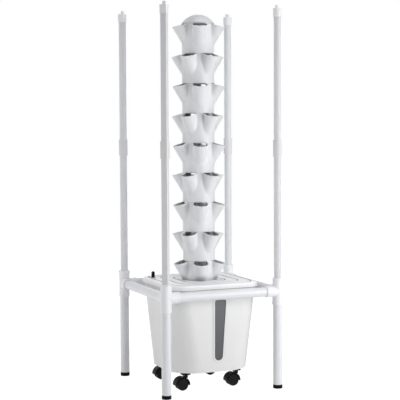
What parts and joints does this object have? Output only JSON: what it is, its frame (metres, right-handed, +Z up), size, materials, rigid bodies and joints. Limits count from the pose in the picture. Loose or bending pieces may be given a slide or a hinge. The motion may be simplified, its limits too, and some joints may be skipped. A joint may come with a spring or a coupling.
{
  "type": "hydroponic tower",
  "caption": "Vertical planter: stacked white layers with leaning pot mouths on a square wheeled water tank, inside a square frame of pipes that carries corner grow lamps",
  "frame": {"origin": "on the floor, under the middle of the tower", "axes": "+Z up; the tank's water window faces -Y; +X to the right of somebody who faces the window"},
  "size_m": [0.5614, 0.5614, 1.633],
  "materials": {
    "tower_plastic": "satin moulded",
    "tank_plastic": "satin moulded",
    "lid_plastic": "fine texture",
    "smoked_window": "clear smoked",
    "pipe_plastic": "smooth extruded",
    "fitting_plastic": "smooth moulded",
    "lamp_housing": "satin light grey",
    "diffuser": "milky",
    "led_board": "board with diodes",
    "black_rubber": "soft matte",
    "black_plastic": "fine texture",
    "wheel_plastic": "smooth tread",
    "zinc_steel": "zinc plated",
    "pump_plastic": "moulded",
    "water_plastic": "moulded"
  },
  "bodies": {
    "reservoir": {"tank": "tank_plastic", "window_pane": "smoked_window", "window_bezel": "tank_plastic", "pump_body": "pump_plastic", "pump_intake": "pump_plastic", "pump_feet": "black_rubber", "caster_mounts": "black_plastic", "caster_screws": "zinc_steel"},
    "tower": {"lid": "lid_plastic", "gland_body": "black_plastic", "gland_nut": "black_plastic", "gland_seal": "black_rubber", "layer_1": "tower_plastic", "layer_2": "tower_plastic", "layer_3": "tower_plastic", "layer_4": "tower_plastic", "layer_5": "tower_plastic", "layer_6": "tower_plastic", "layer_7": "tower_plastic", "layer_8": "tower_plastic", "layer_9": "tower_plastic", "drip_discs": "water_plastic", "riser_pipe": "water_plastic", "water_spreader": "water_plastic"},
    "dome": {"dome_cap": "tower_plastic"},
    "light_frame": {"leg_front_left": "pipe_plastic", "leg_front_right": "pipe_plastic", "leg_back_right": "pipe_plastic", "leg_back_left": "pipe_plastic", "fitting_front_left": "fitting_plastic", "fitting_front_right": "fitting_plastic", "fitting_back_right": "fitting_plastic", "fitting_back_left": "fitting_plastic", "beam_front": "pipe_plastic", "beam_right": "pipe_plastic", "beam_back": "pipe_plastic", "beam_left": "pipe_plastic", "foot_caps": "black_rubber", "lower_lamp_front_left": "lamp_housing", "lower_lamp_front_right": "lamp_housing", "lower_lamp_back_right": "lamp_housing", "lower_lamp_back_left": "lamp_housing", "upper_lamp_front_left": "lamp_housing", "upper_lamp_front_right": "lamp_housing", "upper_lamp_back_right": "lamp_housing", "upper_lamp_back_left": "lamp_housing", "lamp_diffusers": "diffuser", "led_strips": "led_board", "lamp_sockets": "fitting_plastic", "lamp_couplings": "fitting_plastic", "lamp_top_caps": "fitting_plastic", "lamp_end_plugs": "fitting_plastic"},
    "caster_1": {"caster_hood_1": "black_plastic"},
    "wheels_1": {"caster_wheels_1": "wheel_plastic"},
    "caster_2": {"caster_hood_2": "black_plastic"},
    "wheels_2": {"caster_wheels_2": "wheel_plastic"},
    "caster_3": {"caster_hood_3": "black_plastic"},
    "wheels_3": {"caster_wheels_3": "wheel_plastic"},
    "caster_4": {"caster_hood_4": "black_plastic"},
    "wheels_4": {"caster_wheels_4": "wheel_plastic"}
  },
  "joints": [
    {"name": "tower_lift", "type": "slide", "parent": "reservoir", "child": "tower", "axis": [0, 0, 1], "range_m": [0, 0.35]},
    {"name": "dome_lift", "type": "slide", "parent": "tower", "child": "dome", "axis": [0, 0, 1], "range_m": [0, 0.06]},
    {"name": "frame_lift", "type": "slide", "parent": "reservoir", "child": "light_frame", "axis": [0, 0, 1], "range_m": [0, 1.25]},
    {"name": "swivel_1", "type": "hinge", "parent": "reservoir", "child": "caster_1", "pos_m": [-0.118, -0.124, 0.06], "axis": [0, 0, 1], "continuous": true},
    {"name": "roll_1", "type": "hinge", "parent": "caster_1", "child": "wheels_1", "pos_m": [-0.136, -0.124, 0.025], "axis": [0, 1, 0], "continuous": true},
    {"name": "swivel_2", "type": "hinge", "parent": "reservoir", "child": "caster_2", "pos_m": [0.118, -0.124, 0.06], "axis": [0, 0, 1], "continuous": true},
    {"name": "roll_2", "type": "hinge", "parent": "caster_2", "child": "wheels_2", "pos_m": [0.1, -0.124, 0.025], "axis": [0, 1, 0], "continuous": true},
    {"name": "swivel_3", "type": "hinge", "parent": "reservoir", "child": "caster_3", "pos_m": [0.118, 0.124, 0.06], "axis": [0, 0, 1], "continuous": true},
    {"name": "roll_3", "type": "hinge", "parent": "caster_3", "child": "wheels_3", "pos_m": [0.1, 0.124, 0.025], "axis": [0, 1, 0], "continuous": true},
    {"name": "swivel_4", "type": "hinge", "parent": "reservoir", "child": "caster_4", "pos_m": [-0.118, 0.124, 0.06], "axis": [0, 0, 1], "continuous": true},
    {"name": "roll_4", "type": "hinge", "parent": "caster_4", "child": "wheels_4", "pos_m": [-0.136, 0.124, 0.025], "axis": [0, 1, 0], "continuous": true}
  ]
}
